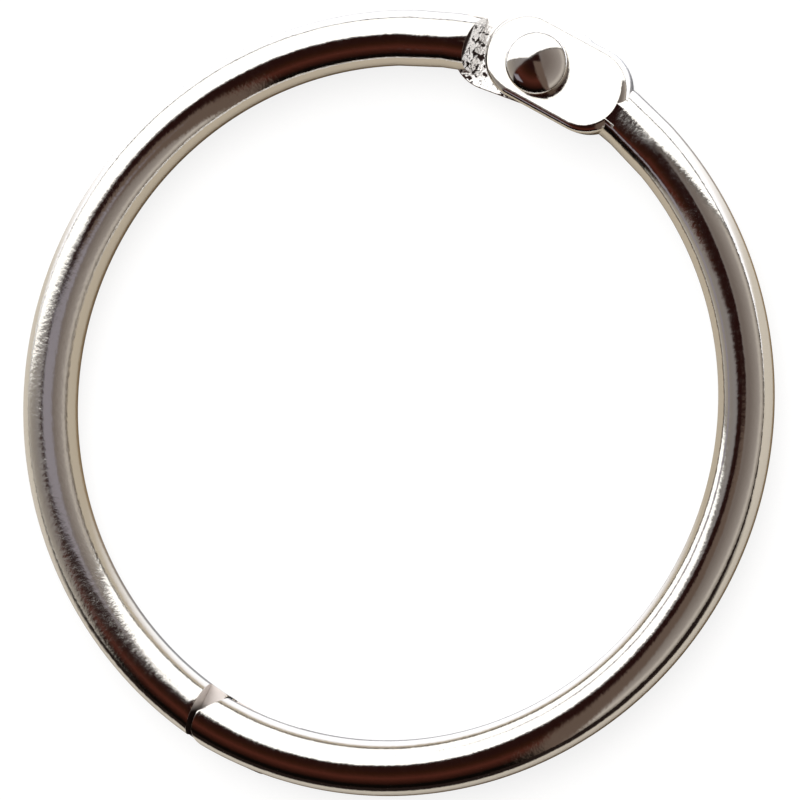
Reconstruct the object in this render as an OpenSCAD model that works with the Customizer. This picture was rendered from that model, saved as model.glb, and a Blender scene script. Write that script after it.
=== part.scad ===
// Hinged loose-leaf binder ring, closed and lying flat.
// Two wire halves, pressed from one pattern and set back to back, turn on a rivet
// and meet opposite it in a half lap that snaps shut.
// Origin at the middle of the ring, on the wire's mid-plane.
// The hinge is on +Y, the rivet's domed head faces +Z.

/* [Wire] */
// Diameter of the round wire
wire_d = 3.2; // [2.8:0.1:3.8]
// Bend radius of each half, to the middle of the wire
bend_r = 21.2; // [16:0.1:30]
// How far each half's bend centre lies past the line from hinge to closure
bend_shift = 0.4; // [0.2:0.1:1.4]

/* [Hinge leaves] */
// Width of the flattened leaf
leaf_w = 5; // [4.6:0.1:5.6]
// From the rivet's axis to the centre of the leaf's round end
leaf_overhang = 0.85; // [0.5:0.05:1.2]
// From the rivet's axis to where the leaf starts to close in on the wire
leaf_run = 3.2; // [2.8:0.1:3.8]
// Turn of the leaf towards the eye, from the wire's direction at the rivet, in degrees
leaf_lean = 3; // [0:0.5:6]
// How far the leaf's face is pressed below the top of the wire
press_depth = 0.1; // [0.06:0.01:0.2]
// Radius on the front rim of the leaf
leaf_rim_r = 0.5; // [0.2:0.05:0.6]
// Gap between the two leaves
leaf_gap = 0.06; // [0.04:0.01:0.12]
// Room left between a leaf's round end and the shoulder it faces
shoulder_room = 0.8; // [0.6:0.05:1.2]
// Lean of the shoulder's wall away from the leaf, in degrees
shoulder_lean = 12; // [4:1:20]

/* [Rivet] */
// Diameter of the domed head
head_d = 3.6; // [3.2:0.1:4]
// Height of the dome on the head
dome_h = 1.6; // [1.2:0.05:1.6]
// Height of the straight rim under the dome
head_rim_h = 0.3; // [0.2:0.05:0.5]
// Diameter of the shank
shank_d = 2; // [1.6:0.1:2.4]
// Diameter of the peened tail behind the hinge
tail_d = 3; // [2.8:0.1:3.4]
// Height of the peened tail
tail_h = 0.45; // [0.3:0.05:0.6]
// Clearance round the shank, on the radius
shank_room = 0.05; // [0.03:0.01:0.08]
// Clearance under the domed head
head_room = 0.05; // [0.03:0.01:0.1]

/* [Closure] */
// Length over which the two tongues overlap
lap_l = 6; // [5:0.1:7]
// Gap between a tongue's tip and the shoulder it meets
seam_gap = 0.35; // [0.2:0.05:0.5]
// Gap between the flats of the two tongues
lap_gap = 0.2; // [0.16:0.02:0.3]
// Length of the bevel on the tip's inner corner, along the wire
tip_bevel_l = 1; // [0.6:0.1:1.4]
// Width of the bevel on the tip's inner corner, across the wire
tip_bevel_w = 1.4; // [1:0.1:1.6]
// Radius of the tip's outer corner
tip_corner_r = 0.9; // [0.5:0.1:1.1]
// Radius of the snap rib across the front tongue
rib_r = 0.45; // [0.3:0.05:0.6]
// Clearance between the rib and the flat it slides over
rib_room = 0.02; // [0.01:0.01:0.04]
// Depth of the snap groove in the rear tongue
groove_depth = 0.2; // [0.1:0.05:0.3]
// From the front tongue's tip to the middle of the snap rib
rib_inset = 1.1; // [0.9:0.1:1.5]

/* [Hidden] */
$fn = 96;

wire_r = wire_d / 2;
bend_centre = [-bend_shift, 0, 0];
// Rivet axis, where the middles of the two bends cross
hinge_y = sqrt(pow(bend_r, 2) - pow(bend_shift, 2));
// Lean of a half's wire where it crosses the rivet's axis
hinge_slope = asin(bend_shift / bend_r);

leaf_r = leaf_w / 2;
leaf_bottom = leaf_gap / 2;
leaf_top = wire_r - press_depth;
leaf_t = leaf_top - leaf_bottom;
shoulder_d = leaf_overhang + leaf_r + shoulder_room;
flat_l = leaf_run + leaf_r;

hole_r = shank_d / 2 + shank_room;
head_bottom = leaf_top + head_room;
tail_top = -leaf_top;

lap_x = lap_l / 2;
tip_x = seam_gap - lap_x;
flat_z = lap_gap / 2;
rib_x = tip_x + rib_inset;
rib_drop = lap_gap - rib_room;

// Larger than the ring, for cuts that run right across it
beyond = 2 * bend_r;
// Larger than the wire, for cuts that run right across it
across = 2 * wire_d;
// How far the bend runs on past a face that then trims it, in degrees
spare_turn = 4;

// Angle at the bend's centre of the wire's middle at a given x
function turn_at(x) = acos((x + bend_shift) / bend_r);

// Sphere radius of a dome from its foot radius and height
function dome_r(foot_r, h) = (pow(foot_r, 2) + pow(h, 2)) / (2 * h);

// The round wire of one half, from inside its leaf to past its tongue's tip
module bent_wire() {
  start_turn = turn_at(leaf_run);
  tip_turn = turn_at(tip_x) + spare_turn;
  translate(bend_centre)
    rotate([0, 0, -tip_turn])
      rotate_extrude(angle = tip_turn + start_turn)
        translate([bend_r, 0])
          circle(r = wire_r);
}

// Puts a leaf's shapes on the rivet's axis, along the leaf
module at_hinge() {
  translate([0, hinge_y, 0])
    rotate([0, 0, -hinge_slope - leaf_lean])
      children();
}

// Half of a leaf's section: flat on both faces, with its front rim rounded
module half_leaf_section() {
  square([leaf_r - leaf_rim_r, leaf_t]);
  square([leaf_r, leaf_t - leaf_rim_r]);
  translate([leaf_r - leaf_rim_r, leaf_t - leaf_rim_r])
    circle(r = leaf_rim_r);
}

// The flattened leaf: a straight bar with two round ends of the same section
module leaf() {
  translate([0, 0, leaf_bottom]) {
    translate([-leaf_overhang, 0, 0]) {
      rotate([0, 0, 90])
        rotate_extrude(angle = 180)
          half_leaf_section();
      rotate([90, 0, 90])
        linear_extrude(height = leaf_overhang + leaf_run) {
          half_leaf_section();
          mirror([1, 0])
            half_leaf_section();
        }
    }
    translate([leaf_run, 0, 0])
      rotate([0, 0, -90])
        rotate_extrude(angle = 180)
          half_leaf_section();
  }
}

// Room for the other half's leaf, with a leaning shoulder at its end
module leaf_room() {
  lean = across * tan(shoulder_lean);
  rotate([90, 0, 0])
    linear_extrude(height = 2 * across, center = true)
      polygon([
        [-across, leaf_bottom],
        [shoulder_d, leaf_bottom],
        [shoulder_d + lean, leaf_bottom - across],
        [-across, leaf_bottom - across]
      ]);
}

// What the press takes off the top of the wire where it runs into the leaf
module pressed_top() {
  translate([-across, -across, leaf_top])
    cube([across + flat_l, 2 * across, across]);
}

// Room for the other half's tongue, from this half's shoulder outwards
module tongue_room() {
  translate([lap_x - beyond, -beyond, flat_z - across])
    cube([beyond, beyond, across]);
}

// What is cut from the tongue's tip: its square end, its bevel and its round corner
module tip_cuts() {
  inner_y = wire_r - bend_r;
  outer_y = -bend_r - wire_r;
  translate([0, 0, -across])
    linear_extrude(height = 2 * across) {
      translate([tip_x - beyond, -beyond])
        square([beyond, beyond]);
      polygon([
        [tip_x - tip_bevel_l, inner_y - tip_bevel_w],
        [tip_x, inner_y - tip_bevel_w],
        [tip_x + tip_bevel_l * (1 + wire_r / tip_bevel_w), inner_y + wire_r],
        [tip_x - tip_bevel_l, inner_y + wire_r]
      ]);
      translate([tip_x, outer_y])
        difference() {
          translate([-wire_r, -wire_r])
            square(wire_r + tip_corner_r);
          translate([tip_corner_r, tip_corner_r])
            circle(r = tip_corner_r);
        }
    }
}

// One half as it is pressed: wire, leaf with its rivet hole, and tongue
module half_ring() {
  difference() {
    union() {
      difference() {
        bent_wire();
        tongue_room();
        tip_cuts();
        at_hinge() {
          leaf_room();
          pressed_top();
        }
      }
      at_hinge() leaf();
    }
    translate([0, hinge_y, -across])
      cylinder(r = hole_r, h = 2 * across);
  }
}

// A round bar across the closure, at the snap rib's place
module cross_bar(low_z) {
  translate([rib_x, -bend_r, low_z + rib_r])
    rotate([90, 0, 0])
      cylinder(r = rib_r, h = across, center = true);
}

module left_half_ring() {
  color([0.78, 0.77, 0.74])
    difference() {
      rotate([0, 180, 0])
        half_ring();
      cross_bar(-flat_z - groove_depth);
    }
}

module right_half_ring() {
  color([0.8, 0.79, 0.76]) {
    half_ring();
    difference() {
      intersection() {
        cross_bar(flat_z - rib_drop);
        bent_wire();
      }
      tip_cuts();
    }
  }
}

// A dome that stands on z = 0
module dome(foot_r, h) {
  r = dome_r(foot_r, h);
  intersection() {
    translate([0, 0, h - r])
      sphere(r = r);
    cylinder(r = r, h = r);
  }
}

// One turned and peened piece: domed head, shank and low tail
module hinge_rivet() {
  color([0.84, 0.83, 0.8])
    translate([0, hinge_y, 0]) {
      translate([0, 0, tail_top])
        cylinder(d = shank_d, h = head_bottom - tail_top);
      translate([0, 0, head_bottom])
        cylinder(d = head_d, h = head_rim_h);
      translate([0, 0, head_bottom + head_rim_h])
        dome(head_d / 2, dome_h);
      translate([0, 0, tail_top])
        mirror([0, 0, 1])
          dome(tail_d / 2, tail_h);
    }
}

left_half_ring();
right_half_ring();
hinge_rivet();
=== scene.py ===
import math

import bmesh
import bpy
from mathutils import Matrix, Vector


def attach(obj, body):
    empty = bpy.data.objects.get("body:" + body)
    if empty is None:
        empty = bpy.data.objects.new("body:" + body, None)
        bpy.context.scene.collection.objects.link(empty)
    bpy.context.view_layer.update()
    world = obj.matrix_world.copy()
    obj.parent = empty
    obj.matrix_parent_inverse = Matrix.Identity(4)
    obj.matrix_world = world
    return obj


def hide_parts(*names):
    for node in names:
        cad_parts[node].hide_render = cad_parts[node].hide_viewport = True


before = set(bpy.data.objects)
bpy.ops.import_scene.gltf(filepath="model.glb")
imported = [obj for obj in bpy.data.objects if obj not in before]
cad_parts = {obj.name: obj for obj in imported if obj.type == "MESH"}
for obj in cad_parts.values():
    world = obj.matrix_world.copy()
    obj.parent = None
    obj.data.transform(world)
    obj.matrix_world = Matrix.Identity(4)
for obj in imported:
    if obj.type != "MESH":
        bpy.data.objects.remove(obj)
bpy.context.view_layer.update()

# The two half rings: one length of 3.2 mm steel wire each, bent to an arc, with one end
# pressed into a flat leaf for the hinge and the other milled to a half-thick tongue.
# One press tool makes both. They lie back to back, and they are nickel plated.
MM = 0.001
WIRE_R = 1.6
BEND_R = 21.2
BEND_SHIFT = 0.4
HINGE_Y = math.sqrt(BEND_R**2 - BEND_SHIFT**2)
HINGE_LEAN = math.asin(BEND_SHIFT / BEND_R)
HINGE_TURN = math.pi / 2 - HINGE_LEAN

LEAF_R = 2.5
LEAF_OVERHANG = 0.85
LEAF_RUN = 3.2
LEAF_LEAN = math.radians(3)
LEAF_BOTTOM = 0.03
LEAF_TOP = 1.5
LEAF_RIM_R = 0.5
RIVET_HOLE_R = 1.05
SHOULDER_D = 4.15
SHOULDER_LEAN = math.radians(12)
PRESSED_END = LEAF_RUN + LEAF_R
PRESS_FADE = 2.5
# the pressed wire stays a hair under the leaf's face, so the two surfaces don't coincide
PRESS_SINK = 0.006
PRESSED_Z = LEAF_TOP - PRESS_SINK

LAP_X = 3.0
FLAT_Z = 0.1
TIP_X = -2.65
TIP_BEVEL_L = 1.0
TIP_BEVEL_W = 1.4
TIP_CORNER_R = 0.9
SNAP_R = 0.45
RIB_X = -1.55
RIB_RISE = 0.18
GROOVE_DEPTH = 0.2

SECTION_STEPS = 44
BEND_STEPS = 170
TONGUE_STEPS = 60
LEAF_STEPS = 96
LEAF_RIM_STEPS = 6
LEAF_EDGE_STEPS = 2
EDGE_ROUND = 0.05
EDGE_STEPS = 3
CREASE = math.radians(35)
SQUARE_EDGE = 0.5
RIM_SLACK = 0.01
TOUCH = 1e-5
WELD = 0.0005


def on_bend(across, z, turn):
    """A point of the wire, by its place in the section and its turn round the bend."""
    reach = BEND_R + across
    return Vector((reach * math.cos(turn) - BEND_SHIFT, reach * math.sin(turn), z))


def turn_at_hinge(across, along):
    """The turn at which the wire is a given way along the leaf from the rivet."""
    past_lean = (along - BEND_R * math.sin(LEAF_LEAN)) / (BEND_R + across)
    return HINGE_TURN - LEAF_LEAN - math.asin(past_lean)


def turn_at_closure(across, x):
    """The turn at which the wire passes a given x near the closure."""
    return -math.acos((x + BEND_SHIFT) / (BEND_R + across))


def tip_at(across):
    """The tongue's end follows a bevel on the inside and a round corner on the outside."""
    y = -BEND_R - across
    from_bevel = y + BEND_R - WIRE_R + TIP_BEVEL_W
    from_corner = TIP_CORNER_R - (y + BEND_R + WIRE_R)
    if from_bevel > 0:
        return TIP_X + TIP_BEVEL_L * from_bevel / TIP_BEVEL_W
    if from_corner > 0:
        return TIP_X + TIP_CORNER_R - math.sqrt(max(TIP_CORNER_R**2 - from_corner**2, 0))
    return TIP_X


def bent_wire(snap_x, snap_height):
    """The wire from its shoulder at the leaf to its tongue's tip, as a closed mesh."""
    bm = bmesh.new()
    dip = math.asin(FLAT_Z / WIRE_R)
    upper = [dip + i * (math.pi - 2 * dip) / SECTION_STEPS for i in range(SECTION_STEPS + 1)]
    lower = [math.pi - dip + i * (math.pi + 2 * dip) / SECTION_STEPS for i in range(1, SECTION_STEPS)]
    section = [(WIRE_R * math.cos(t), WIRE_R * math.sin(t)) for t in upper + lower]
    count = len(section)

    def pressed(z):
        return min(z, PRESSED_Z)

    shoulder = [
        (a, pressed(z), turn_at_hinge(a, SHOULDER_D + (LEAF_BOTTOM - z) * math.tan(SHOULDER_LEAN)))
        for a, z in section
    ]
    loop = [bm.verts.new(on_bend(*place)) for place in shoulder]
    edges = [bm.edges.new((loop[i], loop[(i + 1) % count])) for i in range(count)]
    start = list(loop)

    def carry(chain_edges, places):
        """Extrudes a chain of edges and puts its new points in their places."""
        order = {}
        made = bmesh.ops.extrude_edge_only(bm, edges=chain_edges)["geom"]
        fresh = [g for g in made if isinstance(g, bmesh.types.BMVert)]
        for v in fresh:
            for e in v.link_edges:
                other = e.other_vert(v)
                if other in places:
                    order[other] = v
        for old, new in order.items():
            new.co = places[old]
        return order, [g for g in made if isinstance(g, bmesh.types.BMEdge)
                       and g.verts[0] in order.values() and g.verts[1] in order.values()]

    def step(spots):
        """Carries the whole section on to its next place."""
        nonlocal loop, edges
        order, edges = carry(edges, dict(zip(loop, spots)))
        loop = [order[v] for v in loop]

    flat_end = [turn_at_hinge(a, PRESSED_END) for a, z in section]
    step([on_bend(a, pressed(z), turn) for (a, z), turn in zip(section, flat_end)])
    wire_start = [turn_at_hinge(a, PRESSED_END + PRESS_FADE) for a, z in section]
    wire_end = [turn_at_closure(a, LAP_X) for a, z in section]
    for i in range(BEND_STEPS + 1):
        share = i / BEND_STEPS
        step([on_bend(a, z, t0 + (t1 - t0) * share)
              for (a, z), t0, t1 in zip(section, wire_start, wire_end)])

    # the shoulder of the lap: the lower half of the section rises to the tongue's flat
    low = list(range(SECTION_STEPS, count)) + [0]
    low_verts = [loop[i] for i in low]
    lap_edges = [e for e in edges if e.verts[0] in low_verts and e.verts[1] in low_verts]
    flat_across = {i: section[count - i][0] for i in range(SECTION_STEPS + 1, count)}
    flat_across[SECTION_STEPS] = section[SECTION_STEPS][0]
    flat_across[0] = section[0][0]
    order, _ = carry(lap_edges, {
        loop[i]: on_bend(flat_across[i], FLAT_Z, turn_at_closure(flat_across[i], LAP_X)) for i in low
    })
    ends = {order[loop[0]]: loop[0], order[loop[SECTION_STEPS]]: loop[SECTION_STEPS]}
    d_loop = [order[v] if i > SECTION_STEPS else v for i, v in enumerate(loop)]
    bmesh.ops.weld_verts(bm, targetmap=ends)
    wall_set = {v for i, v in enumerate(d_loop) if i > SECTION_STEPS} | {d_loop[0], d_loop[SECTION_STEPS]}
    top_edges = [e for e in edges if e.is_valid and e not in lap_edges]
    chord = [e for v in wall_set for e in v.link_edges
             if e.other_vert(v) in wall_set and e not in lap_edges]
    edges = list(set(top_edges + chord))
    loop = d_loop

    # the tongue: the rest of the section runs on to the tip, with the snap across its flat
    d_section = [section[i] if i <= SECTION_STEPS else (flat_across[i], FLAT_Z) for i in range(count)]
    tips = [tip_at(a) for a, z in d_section]
    corner_lines = []
    for i in range(1, TONGUE_STEPS + 1):
        spots = []
        for k, (a, z) in enumerate(d_section):
            x = LAP_X + (tips[k] - LAP_X) * i / TONGUE_STEPS
            rise = math.sqrt(max(SNAP_R**2 - (x - snap_x)**2, 0)) - SNAP_R + abs(snap_height)
            if k > SECTION_STEPS and rise > 0:
                z += math.copysign(rise, snap_height)
            spots.append(on_bend(a, z, turn_at_closure(a, x)))
        before = (loop[0], loop[SECTION_STEPS])
        step(spots)
        corner_lines += [bm.edges.get((before[0], loop[0])),
                         bm.edges.get((before[1], loop[SECTION_STEPS]))]

    # the shoulder's face and the tip's face close the two ends
    for ring in (start, loop):
        for i in range(SECTION_STEPS):
            corners = [ring[i], ring[i + 1], ring[(count - i - 1) % count], ring[(count - i) % count]]
            corners = [v for n, v in enumerate(corners) if v not in corners[:n]]
            bm.faces.new(corners)
    start_rim = [bm.edges.get((start[i], start[(i + 1) % count])) for i in range(SECTION_STEPS, count)]
    tip_rim = [bm.edges.get((loop[i], loop[(i + 1) % count])) for i in range(count)]
    bmesh.ops.recalc_face_normals(bm, faces=bm.faces)
    sharp = [e for e in start_rim + lap_edges + corner_lines + tip_rim if e and e.is_valid]
    bmesh.ops.bevel(bm, geom=list(set(sharp)), offset=EDGE_ROUND, offset_type="OFFSET",
                    segments=EDGE_STEPS, profile=0.5, affect="EDGES", clamp_overlap=True, material=-1)
    return bm


def pressed_leaf():
    """The flattened end: a slab with two round ends, a rivet hole and a rounded front rim."""
    bm = bmesh.new()
    half_step = Matrix.Rotation(math.pi / LEAF_STEPS, 3, "Z")
    rim = bmesh.ops.create_circle(bm, segments=LEAF_STEPS, radius=LEAF_R)["verts"]
    bmesh.ops.rotate(bm, verts=rim, matrix=half_step)
    for v in rim:
        v.co.x += LEAF_RUN if v.co.x > 0 else -LEAF_OVERHANG
    hole = bmesh.ops.create_circle(bm, segments=LEAF_STEPS, radius=RIVET_HOLE_R)["verts"]
    bmesh.ops.rotate(bm, verts=hole, matrix=half_step)
    bmesh.ops.bridge_loops(bm, edges=bm.edges[:])
    lifted = bmesh.ops.extrude_face_region(bm, geom=bm.faces[:])["geom"]
    raised = [g for g in lifted if isinstance(g, bmesh.types.BMVert)]
    bmesh.ops.translate(bm, verts=raised, vec=(0, 0, LEAF_TOP - LEAF_BOTTOM))
    bmesh.ops.translate(bm, verts=bm.verts, vec=(0, 0, LEAF_BOTTOM))
    bmesh.ops.recalc_face_normals(bm, faces=bm.faces)

    def rim_edges(z):
        """The square edges round the slab at a height, without those of the hole."""
        return [e for e in bm.edges
                if all(abs(v.co.z - z) < TOUCH and v.co.xy.length > LEAF_R - RIM_SLACK for v in e.verts)
                and abs(e.link_faces[0].normal.z - e.link_faces[1].normal.z) > SQUARE_EDGE]

    for z, offset, segments in ((LEAF_TOP, LEAF_RIM_R, LEAF_RIM_STEPS),
                                (LEAF_BOTTOM, EDGE_ROUND, LEAF_EDGE_STEPS)):
        bmesh.ops.bevel(bm, geom=rim_edges(z), offset=offset, offset_type="OFFSET", segments=segments,
                        profile=0.5, affect="EDGES", clamp_overlap=True, material=-1)
    bmesh.ops.rotate(bm, verts=bm.verts, matrix=Matrix.Rotation(-HINGE_LEAN - LEAF_LEAN, 3, "Z"))
    bmesh.ops.translate(bm, verts=bm.verts, vec=(0, HINGE_Y, 0))
    return bm


def as_object(bm, name):
    """A new object at the origin with the mesh just made."""
    mesh = bpy.data.meshes.new(name)
    bm.to_mesh(mesh)
    bm.free()
    made = bpy.data.objects.new(name, mesh)
    bpy.context.scene.collection.objects.link(made)
    return made


def to_metres(bm):
    """Scales a mesh in millimetres to metres, and smooths all but its creases."""
    bmesh.ops.scale(bm, verts=bm.verts, vec=(MM, MM, MM))
    for face in bm.faces:
        face.smooth = True
    for edge in bm.edges:
        edge.smooth = edge.is_manifold and edge.calc_face_angle() < CREASE


# how squarely a face looks along a direction, and how near it lies to a plane, to get a skin
COINED_FACING = 0.98
SHOULDER_FACING = 0.8
LAP_FACING = 0.9
FRONT_FACING = 0.1
PRESSED_FACING = 0.9999
ON_FLAT = 0.02
ON_LAP_WALL = 0.05
LEAF_REACH = 2 * SHOULDER_D
# skin 0 is the wire's
COINED_SKIN, SHOULDER_SKIN, LAP_SKIN, LEAF_SKIN = range(1, 5)


def half_ring(name, snap_x, snap_height, back_to_front):
    """Wire and leaf forged into one closed piece, in metres and in its place."""
    wire = as_object(bent_wire(snap_x, snap_height), name)
    leaf = as_object(pressed_leaf(), name + "_leaf")
    forge = wire.modifiers.new("forge", "BOOLEAN")
    forge.operation = "UNION"
    forge.solver = "EXACT"
    forge.object = leaf
    whole = bpy.data.meshes.new_from_object(wire.evaluated_get(bpy.context.evaluated_depsgraph_get()))
    wire.modifiers.clear()
    bpy.data.objects.remove(leaf)
    bm = bmesh.new()
    bm.from_mesh(whole)
    bpy.data.meshes.remove(whole)
    bmesh.ops.remove_doubles(bm, verts=bm.verts, dist=WELD)
    bm.normal_update()
    along_leaf = Vector((math.cos(HINGE_LEAN + LEAF_LEAN), -math.sin(HINGE_LEAN + LEAF_LEAN), 0))
    rivet_axis = Vector((0, HINGE_Y, 0))
    for face in bm.faces:
        spot = face.calc_center_median()
        facing = face.normal
        by_leaf = spot.y > 0 and abs(spot.x) < LEAF_REACH
        past_leaf = spot.x > LEAF_R and spot.z < LEAF_BOTTOM
        at_closure = spot.y < 0
        on_pressed_wire = facing.z > PRESSED_FACING and spot.z < LEAF_TOP - PRESS_SINK / 2
        if by_leaf and facing.z < -COINED_FACING and abs(spot.z - LEAF_BOTTOM) < ON_FLAT:
            face.material_index = COINED_SKIN
        elif by_leaf and past_leaf and facing.dot(along_leaf) < -SHOULDER_FACING:
            face.material_index = SHOULDER_SKIN
        elif at_closure and facing.x < -LAP_FACING and abs(spot.x - LAP_X) < ON_LAP_WALL:
            face.material_index = LAP_SKIN
        elif (at_closure and facing.z < -LAP_FACING and abs(spot.z - FLAT_Z) < ON_FLAT
              and abs(spot.x) < LAP_X):
            face.material_index = LAP_SKIN
        elif by_leaf and facing.z > FRONT_FACING and not on_pressed_wire:
            along = (spot - rivet_axis).dot(along_leaf)
            middle = rivet_axis + along_leaf * min(max(along, -LEAF_OVERHANG), LEAF_RUN)
            if (spot - middle).xy.length < LEAF_R:
                face.material_index = LEAF_SKIN
    if back_to_front:
        bmesh.ops.rotate(bm, verts=bm.verts, matrix=Matrix.Rotation(math.pi, 3, "Y"))
    to_metres(bm)
    bm.to_mesh(wire.data)
    bm.free()
    even = wire.modifiers.new("even_faces", "WEIGHTED_NORMAL")
    even.keep_sharp = True
    return wire


def linear(hex_colour):
    """sRGB hex to linear colour with alpha."""
    parts = [int(hex_colour[i:i + 2], 16) / 255 for i in (1, 3, 5)]
    return [c / 12.92 if c <= 0.04045 else ((c + 0.055) / 1.055) ** 2.4 for c in parts] + [1]


def put(tree, kind, inputs=None, **settings):
    """Adds a node with its settings, and sets or links its inputs."""
    made = tree.nodes.new(kind)
    for key, value in settings.items():
        setattr(made, key, value)
    for socket, value in (inputs or {}).items():
        if isinstance(value, bpy.types.NodeSocket):
            tree.links.new(value, made.inputs[socket])
        else:
            made.inputs[socket].default_value = value
    return made


# Bright nickel plate on steel: a slightly warm mirror. The fine ripple of the metal frays the
# edges of what it mirrors, a slow sway bends them, and the ring's left side is scuffed.
# The ripple is drawn coarser than the real one, so that it shows.
UM = 1e-6
SWAY_MM = 3.5
SWAY_UM = 40.0
HAZE_FROM = 0.35
HAZE_TO = 0.7
PICTURE_UP = math.radians(115.25)
up = Vector((math.cos(PICTURE_UP), math.sin(PICTURE_UP), 0))
right = Vector((math.sin(PICTURE_UP), -math.cos(PICTURE_UP), 0))
scuffed_side = right * -0.99 - up * 0.12
SCUFF_FROM = 12.0
SCUFF_TO = 20.0
SCUFF_GAIN = 24.5


def nickel_plate(name, tone, ripple_mm, ripple_um, haze, lean=(0, 0, 0), lift=(0, 0, 0),
                 metal=1.0, scuff=0.0):
    """Lean turns the shader's normal, and lift does so the other way behind the ring's plane."""
    plate = bpy.data.materials.new(name)
    plate.use_nodes = True
    tree = plate.node_tree
    tree.nodes.clear()
    place = put(tree, "ShaderNodeTexCoord").outputs["Object"]
    ripple = put(tree, "ShaderNodeTexNoise", {
        "Vector": place, "Scale": 1 / (ripple_mm * MM), "Detail": 3.0, "Roughness": 0.6,
    }).outputs["Fac"]
    sway = put(tree, "ShaderNodeTexNoise", {
        "Vector": place, "Scale": 1 / (SWAY_MM * MM), "Detail": 1.0,
    }).outputs["Fac"]
    roughness = put(tree, "ShaderNodeMapRange", {
        "Value": ripple, "From Min": HAZE_FROM, "From Max": HAZE_TO, "To Min": haze[0], "To Max": haze[1],
    }).outputs["Result"]
    ridges = ripple
    if scuff:
        to_scuff = put(tree, "ShaderNodeVectorMath", {
            0: place, 1: scuffed_side,
        }, operation="DOT_PRODUCT").outputs["Value"]
        scuffed = put(tree, "ShaderNodeMapRange", {
            "Value": to_scuff, "From Min": SCUFF_FROM * MM, "From Max": SCUFF_TO * MM,
            "To Min": 0.0, "To Max": scuff,
        }, interpolation_type="SMOOTHSTEP").outputs["Result"]
        gain = put(tree, "ShaderNodeMath", {
            0: scuffed, 1: SCUFF_GAIN, 2: 1.0,
        }, operation="MULTIPLY_ADD").outputs["Value"]
        ridges = put(tree, "ShaderNodeMath", {0: ripple, 1: gain}, operation="MULTIPLY").outputs["Value"]
        roughness = put(tree, "ShaderNodeMath", {0: roughness, 1: scuffed}, operation="ADD").outputs["Value"]
    relief = put(tree, "ShaderNodeMath", {
        0: sway, 1: SWAY_UM / ripple_um, 2: ridges,
    }, operation="MULTIPLY_ADD").outputs["Value"]
    facing = put(tree, "ShaderNodeNewGeometry").outputs["Normal"]
    if any(lift):
        level = put(tree, "ShaderNodeSeparateXYZ", {"Vector": place}).outputs["Z"]
        side = put(tree, "ShaderNodeMath", {0: level}, operation="SIGN").outputs["Value"]
        outwards = put(tree, "ShaderNodeVectorMath", {0: lift, "Scale": side}, operation="SCALE")
        facing = put(tree, "ShaderNodeVectorMath", {
            0: facing, 1: outwards.outputs["Vector"],
        }, operation="ADD").outputs["Vector"]
    if any(lean):
        facing = put(tree, "ShaderNodeVectorMath", {0: facing, 1: lean}, operation="ADD").outputs["Vector"]
    bump = put(tree, "ShaderNodeBump", {
        "Height": relief, "Strength": 1.0, "Distance": ripple_um * UM, "Normal": facing,
    }).outputs["Normal"]
    skin = put(tree, "ShaderNodeBsdfPrincipled", {
        "Base Color": linear(tone), "Metallic": metal, "Roughness": roughness, "Normal": bump,
    })
    put(tree, "ShaderNodeOutputMaterial", {"Surface": skin.outputs["BSDF"]})
    return plate


# The five skins of a half: the drawn wire, the leaf's coined inner face, the sheared shoulder
# beside it, the milled shoulder and flat of the lap, and the leaf's pressed front face.
# Lean and lift don't follow the shape: they pick the part of the studio that a face mirrors.
COINED_TONE = "#E4E0DC"
SPECK_TONE = "#2A201D"
LAP_TONE = "#DDD5D0"
# the colour of the painted shade in the seam between the halves
SEAM_SHADE_TONE = "#2A1A15"
wire_plate = nickel_plate("bright_nickel_on_drawn_wire", "#E2DED7", ripple_mm=0.3, ripple_um=6.0,
                          haze=(0.05, 0.12), scuff=0.07)
coined_plate = nickel_plate("nickel_on_coined_leaf_face", COINED_TONE, ripple_mm=0.25, ripple_um=40.0,
                            haze=(0.12, 0.2), lean=up * 0.32)
shoulder_plate = nickel_plate("nickel_on_sheared_hinge_shoulder", COINED_TONE, ripple_mm=0.15,
                              ripple_um=12.0, haze=(0.12, 0.2), lean=up * 0.29, lift=(-0.82, 0, 0.94))
lap_plate = nickel_plate("nickel_on_milled_lap_shoulder_with_painted_seam_shade", LAP_TONE, ripple_mm=0.15, ripple_um=12.0,
                         haze=(0.4, 0.5), metal=0.35)
leaf_plate = nickel_plate("nickel_on_pressed_leaf_face", "#E2DED7", ripple_mm=0.3, ripple_um=6.0,
                          haze=(0.05, 0.12), lean=up * 0.2)
half_plates = (wire_plate, coined_plate, shoulder_plate, lap_plate, leaf_plate)
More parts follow.
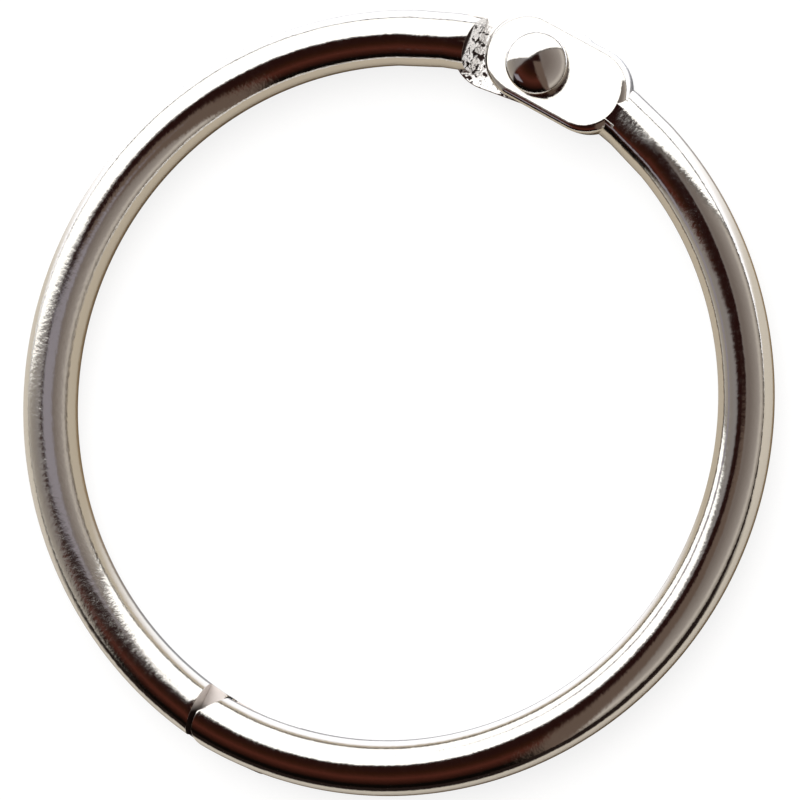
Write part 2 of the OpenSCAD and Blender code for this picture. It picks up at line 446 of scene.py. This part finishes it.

# the press leaves dark specks on the coined face and its shoulder. The shoulder's outer edge is all dark,
# as painted shade, and the lap's shoulder keeps its bright tone inside the ring and is darkened in the seam,
# as painted shade
IN_PLANE = (1, 1, 0)
SPECK_MM = 0.35
SPECK_FROM = 0.54
SPECK_TO = 0.58
SPECK_REACH = 22.4
SPECK_FADE = 0.4
# painted shade: the hinge shoulder's wall turns dark beyond this distance from the ring's plane
SHOULDER_SHADE_Z = 1.1
SHOULDER_SHADE_FADE = 0.15
# painted shade: the lap turns dark from here outwards into the seam
LAP_SHADE_FROM = 20.6
LAP_SHADE_TO = 21.3
# the specks are the faces' own tone; the shoulder's dark edge and the lap's dark seam are painted shade
for plate, tone, speck_and_shade_tone in ((coined_plate, COINED_TONE, SPECK_TONE),
                                (shoulder_plate, COINED_TONE, SPECK_TONE),
                                (lap_plate, LAP_TONE, SEAM_SHADE_TONE)):
    tree = plate.node_tree
    place = put(tree, "ShaderNodeTexCoord").outputs["Object"]
    flat = put(tree, "ShaderNodeVectorMath", {0: place, 1: IN_PLANE}, operation="MULTIPLY").outputs["Vector"]
    reach = put(tree, "ShaderNodeVectorMath", {0: flat}, operation="LENGTH").outputs["Value"]
    if plate is lap_plate:
        # painted shade in the seam
        speck_and_shade = put(tree, "ShaderNodeMapRange", {
            "Value": reach, "From Min": LAP_SHADE_FROM * MM, "From Max": LAP_SHADE_TO * MM,
        }).outputs["Result"]
    else:
        grit = put(tree, "ShaderNodeTexNoise", {
            "Vector": place, "Scale": 1 / (SPECK_MM * MM), "Detail": 2.0, "Roughness": 0.7,
        }).outputs["Fac"]
        speck = put(tree, "ShaderNodeMapRange", {
            "Value": grit, "From Min": SPECK_FROM, "From Max": SPECK_TO,
        }).outputs["Result"]
        covered = put(tree, "ShaderNodeMapRange", {
            "Value": reach, "From Min": SPECK_REACH * MM, "From Max": (SPECK_REACH - SPECK_FADE) * MM,
        }).outputs["Result"]
        speck_and_shade = put(tree, "ShaderNodeMath", {0: speck, 1: covered}, operation="MULTIPLY").outputs["Value"]
    if plate is shoulder_plate:
        level = put(tree, "ShaderNodeSeparateXYZ", {"Vector": place}).outputs["Z"]
        level = put(tree, "ShaderNodeMath", {0: level}, operation="ABSOLUTE").outputs["Value"]
        # painted shade on the shoulder's outer edge
        painted_shade_on_sheared = put(tree, "ShaderNodeMapRange", {
            "Value": level, "From Min": SHOULDER_SHADE_Z * MM,
            "From Max": (SHOULDER_SHADE_Z + SHOULDER_SHADE_FADE) * MM,
        }).outputs["Result"]
        speck_and_shade = put(tree, "ShaderNodeMath", {0: speck_and_shade, 1: painted_shade_on_sheared}, operation="MAXIMUM").outputs["Value"]
    specked_and_shaded = put(tree, "ShaderNodeMix", {
        "Factor": speck_and_shade, 6: linear(tone), 7: linear(speck_and_shade_tone),
    }, data_type="RGBA").outputs[2]
    tree.links.new(specked_and_shaded, tree.nodes["Principled BSDF"].inputs["Base Color"])

left_half = half_ring("left_wire_half", -RIB_X, GROOVE_DEPTH, True)
right_half = half_ring("right_wire_half", RIB_X, -RIB_RISE, False)
for piece, body, node in ((left_half, "left_half", "left_half_ring"),
                          (right_half, "right_half", "right_half_ring")):
    for plate in half_plates:
        piece.data.materials.append(plate)
    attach(piece, body)
    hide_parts(node)

# The hinge rivet: one turned steel pin through both leaves, with a tall domed head on the
# front and a low tail peened over behind. It is plated like the wire.
HEAD_R = 1.8
HEAD_BOTTOM = 1.55
HEAD_RIM_TOP = 1.85
HEAD_EDGE = 0.08
HEAD_EDGE_MIDDLE = 0.024
DOME_H = 1.6
DOME_LIFT = 0.6
SHANK_R = 1.0
TAIL_R = 1.5
TAIL_H = 0.45
TAIL_TOP = -1.5
DOME_STEPS = 24
RIVET_STEPS = 128


def cap_profile(foot_r, height, foot_z, direction):
    """Points of a dome's arc from its pole to its foot."""
    ball = (foot_r**2 + height**2) / (2 * height)
    reach = math.acos((ball - height) / ball)
    return [(ball * math.sin(reach * i / DOME_STEPS),
             foot_z + direction * (height - ball + ball * math.cos(reach * i / DOME_STEPS)))
            for i in range(DOME_STEPS + 1)]


bm = bmesh.new()
head = cap_profile(HEAD_R, DOME_H, HEAD_RIM_TOP, 1)
tail = cap_profile(TAIL_R, TAIL_H, TAIL_TOP, -1)
rim = [(HEAD_R, HEAD_BOTTOM + HEAD_EDGE),
       (HEAD_R - HEAD_EDGE_MIDDLE, HEAD_BOTTOM + HEAD_EDGE_MIDDLE),
       (HEAD_R - HEAD_EDGE, HEAD_BOTTOM),
       (SHANK_R, HEAD_BOTTOM),
       (SHANK_R, TAIL_TOP)]
profile = [bm.verts.new((r, 0, z)) for r, z in head + rim + tail[::-1]]
for first, second in zip(profile, profile[1:]):
    bm.edges.new((first, second))
bmesh.ops.spin(bm, geom=bm.verts[:] + bm.edges[:], cent=(0, 0, 0), axis=(0, 0, 1), dvec=(0, 0, 0),
               angle=2 * math.pi, steps=RIVET_STEPS, use_merge=True, use_normal_flip=False,
               use_duplicate=False)
bmesh.ops.remove_doubles(bm, verts=bm.verts, dist=TOUCH)
bmesh.ops.recalc_face_normals(bm, faces=bm.faces)
bmesh.ops.translate(bm, verts=bm.verts, vec=(0, HINGE_Y, 0))
to_metres(bm)
rivet = as_object(bm, "domed_rivet")
rivet.data.materials.append(nickel_plate(
    "bright_nickel_on_turned_steel", "#E6E2DC", ripple_mm=0.5, ripple_um=8.0, haze=(0.05, 0.12),
    lift=(0, 0, DOME_LIFT)))
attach(rivet, "left_half")
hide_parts("hinge_rivet")

# The floor: white paper on which the ring lies. The ring rests on the rivet's tail and on
# the wire at the closure, so the paper leans by the tail's height over the ring's length.
FLOOR_HALF = 600
FLOOR_CELLS = 8
REST_TAIL = (HINGE_Y, TAIL_TOP - TAIL_H)
REST_WIRE = (-BEND_R, -WIRE_R)
floor_lean = math.atan2(REST_TAIL[1] - REST_WIRE[1], REST_TAIL[0] - REST_WIRE[0])
bm = bmesh.new()
bmesh.ops.create_grid(bm, x_segments=FLOOR_CELLS, y_segments=FLOOR_CELLS, size=FLOOR_HALF)
bmesh.ops.rotate(bm, verts=bm.verts, matrix=Matrix.Rotation(floor_lean, 3, "X"))
bmesh.ops.translate(bm, verts=bm.verts, vec=(0, 0, REST_TAIL[1] - math.tan(floor_lean) * REST_TAIL[0]))
bmesh.ops.scale(bm, verts=bm.verts, vec=(MM, MM, MM))
floor = as_object(bm, "paper_floor")

# Matt white paper: white to the eye, with the ring's soft shadow. For the plate's reflections it is
# painted with light and shade: painted light where it counts as lit, painted shade in tan beside the wire
# and a dark painted shadow below. Each pair is where a tone starts and where it is full, in millimetres.
LIT_INSIDE = (-4, -14)
LIT_OUTSIDE = (8, 19)
SHADE_BELOW = (-9, -19)
SHADE_AWAY = (6, 9)
WIRE_SHADE = (3.2, 2.2)
WIRE_SIDE = (0, 0.5)
PAPER_GLOW = 0.85
paper = bpy.data.materials.new("matt_white_paper")
paper.use_nodes = True
tree = paper.node_tree
tree.nodes.clear()
place = put(tree, "ShaderNodeTexCoord").outputs["Object"]
spot = put(tree, "ShaderNodeSeparateXYZ", {"Vector": place})
aside = put(tree, "ShaderNodeMath", {0: spot.outputs["X"]}, operation="ABSOLUTE").outputs["Value"]
from_bend = put(tree, "ShaderNodeMath", {0: aside, 1: BEND_SHIFT * MM}, operation="ADD").outputs["Value"]
flat = put(tree, "ShaderNodeCombineXYZ", {"X": from_bend, "Y": spot.outputs["Y"]}).outputs["Vector"]
reach = put(tree, "ShaderNodeVectorMath", {0: flat}, operation="LENGTH").outputs["Value"]
off_wire = put(tree, "ShaderNodeMath", {0: reach, 1: BEND_R * MM}, operation="SUBTRACT").outputs["Value"]
nearness = put(tree, "ShaderNodeMath", {0: off_wire}, operation="ABSOLUTE").outputs["Value"]
to_window = put(tree, "ShaderNodeVectorMath", {0: place, 1: up}, operation="DOT_PRODUCT").outputs["Value"]
outside = put(tree, "ShaderNodeMapRange", {
    "Value": off_wire, "From Min": WIRE_SIDE[0] * MM, "From Max": WIRE_SIDE[1] * MM,
}).outputs["Result"]
lit_inside, lit_outside, below, away, painted_shade_by_wire = [
    put(tree, "ShaderNodeMapRange", {
        "Value": value, "From Min": start * MM, "From Max": full * MM,
    }, interpolation_type="SMOOTHSTEP").outputs["Result"]
    for value, (start, full) in ((to_window, LIT_INSIDE), (to_window, LIT_OUTSIDE),
                                 (to_window, SHADE_BELOW), (nearness, SHADE_AWAY),
                                 (nearness, WIRE_SHADE))
]
# painted light: the mirrored paper counts as lit towards the window
lit = put(tree, "ShaderNodeMix", {"Factor": outside, 2: lit_inside, 3: lit_outside}).outputs[0]
# painted shadow: dark towards the picture's bottom, outside the ring and away from the wire
painted_shadow = put(tree, "ShaderNodeMath", {0: below, 1: away}, operation="MULTIPLY").outputs["Value"]
painted_shade_outside = put(tree, "ShaderNodeMix", {
    "Factor": painted_shadow, 6: linear("#B9B4AB"), 7: linear("#1E1715"),
}, data_type="RGBA").outputs[2]
painted_shade_tone = put(tree, "ShaderNodeMix", {
    "Factor": outside, 6: linear("#A8A092"), 7: painted_shade_outside,
}, data_type="RGBA").outputs[2]
painted_light_and_shade = put(tree, "ShaderNodeMix", {
    "Factor": lit, 6: painted_shade_tone, 7: linear("#F4F7FF"),
}, data_type="RGBA").outputs[2]
# painted shade: a darker strip along the wire, greyer on the lit side
painted_wire_shade = put(tree, "ShaderNodeMix", {
    "Factor": lit, 6: linear("#85745C"), 7: linear("#7E7F84"),
}, data_type="RGBA").outputs[2]
painted_light_and_shade = put(tree, "ShaderNodeMix", {
    "Factor": painted_shade_by_wire, 6: painted_light_and_shade, 7: painted_wire_shade,
}, data_type="RGBA").outputs[2]
# the plate sees the painted light and shade, and the camera sees the even white
ray = put(tree, "ShaderNodeLightPath")
tone = put(tree, "ShaderNodeMix", {
    "Factor": ray.outputs["Is Glossy Ray"], 6: linear("#FBFAF8"), 7: painted_light_and_shade,
}, data_type="RGBA").outputs[2]
matt = put(tree, "ShaderNodeBsdfDiffuse", {"Color": tone})
glow = put(tree, "ShaderNodeEmission", {"Color": (1, 1, 1, 1), "Strength": 1.0})
glow_share = put(tree, "ShaderNodeMath", {
    0: ray.outputs["Is Camera Ray"], 1: PAPER_GLOW,
}, operation="MULTIPLY")
sheet = put(tree, "ShaderNodeMixShader", {
    0: glow_share.outputs["Value"], 1: matt.outputs["BSDF"], 2: glow.outputs["Emission"],
})
put(tree, "ShaderNodeOutputMaterial", {"Surface": sheet.outputs["Shader"]})
floor.data.materials.append(paper)

# The studio: a white window wall above the picture's top edge, grey and tan walls at both
# sides, and a dark brown screen with a paler door that leans over the ring from below.
# The plated wire mirrors all of it, and the camera sees plain white.
WINDOW_SOFT = 0.02
SILL_OUTLINE = 0.1
EDGE_SOFT = 0.05
OUTLINE_GAIN = 2.0
WALL_TURN = 0.3
SKIRTING = (0.02, 0.09)
WINDOW_LIGHT = 1.6
# each wall's colours, by height
LEFT_WALL = ((0.02, "#4A4440"), (0.06, "#C9C5C0"), (0.2, "#ABA49B"),
             (0.6, "#8F8985"), (0.95, "#8E8A8C"))
RIGHT_WALL = ((0.02, "#3F3936"), (0.06, "#948C84"), (0.25, "#CBC4BD"),
              (0.45, "#A29A95"), (0.9, "#7A706B"))
SCREEN = ((0.24, "#0D0907"), (0.5, "#3A1C15"), (0.7, "#522920"),
          (0.88, "#32190F"), (0.97, "#261210"))
overhead = Vector((0, 0, 1))


def toward(to_right, to_up, height):
    """A direction given along the picture's axes, in the ring's frame."""
    return (right * to_right + up * to_up + overhead * height).normalized()


def edge_through(first, second):
    """Normal of the straight edge that runs through two directions, on its left side."""
    return first.cross(second).normalized()


world = bpy.data.worlds.new("studio")
bpy.context.scene.world = world
world.use_nodes = True
tree = world.node_tree
tree.nodes.clear()
heading = put(tree, "ShaderNodeTexCoord").outputs["Generated"]


def inside_of(*edges):
    """How far a direction lies inside all of the given edges, from 0 to 1."""
    share = None
    for normal, softness in edges:
        depth = put(tree, "ShaderNodeVectorMath", {0: heading, 1: normal}, operation="DOT_PRODUCT")
        part = put(tree, "ShaderNodeMapRange", {
            "Value": depth.outputs["Value"], "From Min": -softness, "From Max": softness,
        }, interpolation_type="SMOOTHSTEP").outputs["Result"]
        share = part if share is None else put(
            tree, "ShaderNodeMath", {0: share, 1: part}, operation="MULTIPLY").outputs["Value"]
    return share


wall_corner = toward(-0.29, 0.17, 0.94)
window_sill = edge_through(wall_corner, toward(0.8, 0.58, 0.1))
window_side = edge_through(toward(-0.985, 0.1, 0.0), wall_corner)
screen_right = edge_through(toward(0.36, -0.8, 0.47), toward(0.22, 0.0, 0.97))
screen_left = edge_through(toward(-0.24, 0.17, 0.955), toward(-0.88, -0.47, 0.0))
door_left = edge_through(toward(-0.08, 0.0, 1.0), toward(0.05, -0.6, 0.8))
door_top = edge_through(toward(1.0, 0.0, 0.0), toward(0.0, 0.02, 1.0))
in_window = inside_of((window_sill, WINDOW_SOFT), (window_side, WINDOW_SOFT))
by_window = inside_of((window_sill, SILL_OUTLINE), (window_side, EDGE_SOFT))
in_screen = inside_of((screen_right, EDGE_SOFT), (screen_left, EDGE_SOFT))
in_door = inside_of((door_left, EDGE_SOFT), (door_top, EDGE_SOFT))
to_side = put(tree, "ShaderNodeVectorMath", {0: heading, 1: right}, operation="DOT_PRODUCT").outputs["Value"]
on_right = put(tree, "ShaderNodeMapRange", {
    "Value": to_side, "From Min": -WALL_TURN, "From Max": WALL_TURN,
}).outputs["Result"]
height = put(tree, "ShaderNodeSeparateXYZ", {"Vector": heading}).outputs["Z"]
by_height = []
for stops in (LEFT_WALL, RIGHT_WALL, SCREEN):
    ramp = put(tree, "ShaderNodeValToRGB", {"Fac": height})
    ramp.color_ramp.elements.remove(ramp.color_ramp.elements[1])
    for n, (stop, colour) in enumerate(stops):
        mark = ramp.color_ramp.elements[0] if n == 0 else ramp.color_ramp.elements.new(stop)
        mark.position = stop
        mark.color = linear(colour)
    by_height.append(ramp.outputs["Color"])
left_wall, right_wall, screen = by_height
walls = put(tree, "ShaderNodeMix", {
    "Factor": on_right, 6: left_wall, 7: right_wall,
}, data_type="RGBA").outputs[2]
screen = put(tree, "ShaderNodeMix", {
    "Factor": in_door, 6: screen, 7: linear("#6B5B52"),
}, data_type="RGBA").outputs[2]
room = put(tree, "ShaderNodeMix", {
    "Factor": in_screen, 6: walls, 7: screen,
}, data_type="RGBA").outputs[2]
outlined = put(tree, "ShaderNodeMath", {
    0: by_window, 1: OUTLINE_GAIN,
}, operation="MULTIPLY", use_clamp=True).outputs["Value"]
room = put(tree, "ShaderNodeMix", {
    "Factor": outlined, 6: room, 7: linear("#0A0605"),
}, data_type="RGBA").outputs[2]
above_skirting = put(tree, "ShaderNodeMapRange", {
    "Value": height, "From Min": SKIRTING[0], "From Max": SKIRTING[1],
}, interpolation_type="SMOOTHSTEP").outputs["Result"]
window = put(tree, "ShaderNodeMath", {
    0: in_window, 1: above_skirting,
}, operation="MULTIPLY").outputs["Value"]
seen = put(tree, "ShaderNodeMix", {
    "Factor": window, 6: room, 7: (WINDOW_LIGHT, WINDOW_LIGHT, WINDOW_LIGHT, 1),
}, data_type="RGBA").outputs[2]
ray = put(tree, "ShaderNodeLightPath")
shown = put(tree, "ShaderNodeMix", {
    "Factor": ray.outputs["Is Camera Ray"], 6: seen, 7: (1, 1, 1, 1),
}, data_type="RGBA").outputs[2]
sky = put(tree, "ShaderNodeBackground", {"Color": shown, "Strength": 1.0})
put(tree, "ShaderNodeOutputWorld", {"Surface": sky.outputs["Background"]})

# The grey card: a card over the ring's left side that glows a fixed grey instead of being lit, with
# edges that fade out. It stands there for the plate to mirror, and nothing else shows it.
CARD_HALF = (9.0, 8.0)
CARD_MIDDLE = (-18.5, 1.0)
CARD_HEIGHT = 20
CARD_SOFT = 4.0
bm = bmesh.new()
bmesh.ops.create_grid(bm, x_segments=2, y_segments=2, size=1)
bmesh.ops.scale(bm, verts=bm.verts, vec=(*CARD_HALF, 1))
bmesh.ops.translate(bm, verts=bm.verts, vec=(*CARD_MIDDLE, CARD_HEIGHT))
bmesh.ops.rotate(bm, verts=bm.verts, matrix=Matrix((right, up, overhead)).transposed())
bmesh.ops.scale(bm, verts=bm.verts, vec=(MM, MM, MM))
card = as_object(bm, "grey_card")
grey = bpy.data.materials.new("grey_card_with_painted_glow")
grey.use_nodes = True
tree = grey.node_tree
tree.nodes.clear()
place = put(tree, "ShaderNodeTexCoord").outputs["Object"]
cover = None
for axis, half, middle in zip((right, up), CARD_HALF, CARD_MIDDLE):
    along = put(tree, "ShaderNodeVectorMath", {0: place, 1: axis}, operation="DOT_PRODUCT").outputs["Value"]
    aside = put(tree, "ShaderNodeMath", {0: along, 1: middle * MM}, operation="SUBTRACT").outputs["Value"]
    aside = put(tree, "ShaderNodeMath", {0: aside}, operation="ABSOLUTE").outputs["Value"]
    part = put(tree, "ShaderNodeMapRange", {
        "Value": aside, "From Min": half * MM, "From Max": (half - CARD_SOFT) * MM,
    }, interpolation_type="SMOOTHSTEP").outputs["Result"]
    cover = part if cover is None else put(
        tree, "ShaderNodeMath", {0: cover, 1: part}, operation="MULTIPLY").outputs["Value"]
clear = put(tree, "ShaderNodeBsdfTransparent").outputs["BSDF"]
# painted light: the card's grey is a glow, not light from the studio
tone = put(tree, "ShaderNodeEmission", {"Color": linear("#96919A"), "Strength": 1.0}).outputs["Emission"]
faded = put(tree, "ShaderNodeMixShader", {0: cover, 1: clear, 2: tone}).outputs["Shader"]
put(tree, "ShaderNodeOutputMaterial", {"Surface": faded})
card.data.materials.append(grey)
card.visible_camera = False
card.visible_diffuse = False
card.visible_transmission = False
card.visible_shadow = False

# The softbox: one round lamp over the ring, towards the window, for the soft shadow on the
# paper. The plate doesn't mirror it.
LAMP_D = 400
LAMP_SIZE = 500
LAMP_WATTS = 2.4
LAMP_LEAN = math.radians(28)
lamp_data = bpy.data.lights.new("softbox", "AREA")
lamp_data.shape = "DISK"
lamp_data.size = LAMP_SIZE * MM
lamp_data.energy = LAMP_WATTS
lamp = bpy.data.objects.new("softbox", lamp_data)
bpy.context.scene.collection.objects.link(lamp)
lamp.location = (up * math.sin(LAMP_LEAN) + overhead * math.cos(LAMP_LEAN)) * LAMP_D * MM
lamp.rotation_mode = "QUATERNION"
lamp.rotation_quaternion = lamp.location.to_track_quat("Z", "Y")
lamp.visible_glossy = False

# The camera: above the ring, leaning to the right of the picture. Its focal length and the
# point that it aims at are given in pixels of the square picture.
CAMERA_D = 350
CAMERA_LEAN = math.radians(16.4)
CAMERA_SIDE = math.radians(-10)
FOCAL_PIXELS = 6083.0
FRAME_PIXELS = 800
AIM_X = 392.8
AIM_Y = 402.1
SENSOR_W = 36
CLIP_START = 10
CLIP_END = 10000
back = toward(math.sin(CAMERA_LEAN) * math.cos(CAMERA_SIDE),
              math.sin(CAMERA_LEAN) * math.sin(CAMERA_SIDE), math.cos(CAMERA_LEAN))
camera_data = bpy.data.cameras.new("camera")
camera_data.sensor_width = SENSOR_W
camera_data.lens = FOCAL_PIXELS / FRAME_PIXELS * SENSOR_W
camera_data.clip_start = CLIP_START * MM
camera_data.clip_end = CLIP_END * MM
camera_data.shift_x = (FRAME_PIXELS / 2 - AIM_X) / FRAME_PIXELS
camera_data.shift_y = (AIM_Y - FRAME_PIXELS / 2) / FRAME_PIXELS
camera = bpy.data.objects.new("camera", camera_data)
bpy.context.scene.collection.objects.link(camera)
picture_up = (up - back * up.dot(back)).normalized()
picture_right = picture_up.cross(back)
camera.matrix_world = Matrix.Translation(back * CAMERA_D * MM) @ Matrix(
    (picture_right, picture_up, back)).transposed().to_4x4()
bpy.context.scene.camera = camera
bpy.context.scene.view_settings.view_transform = "Standard"
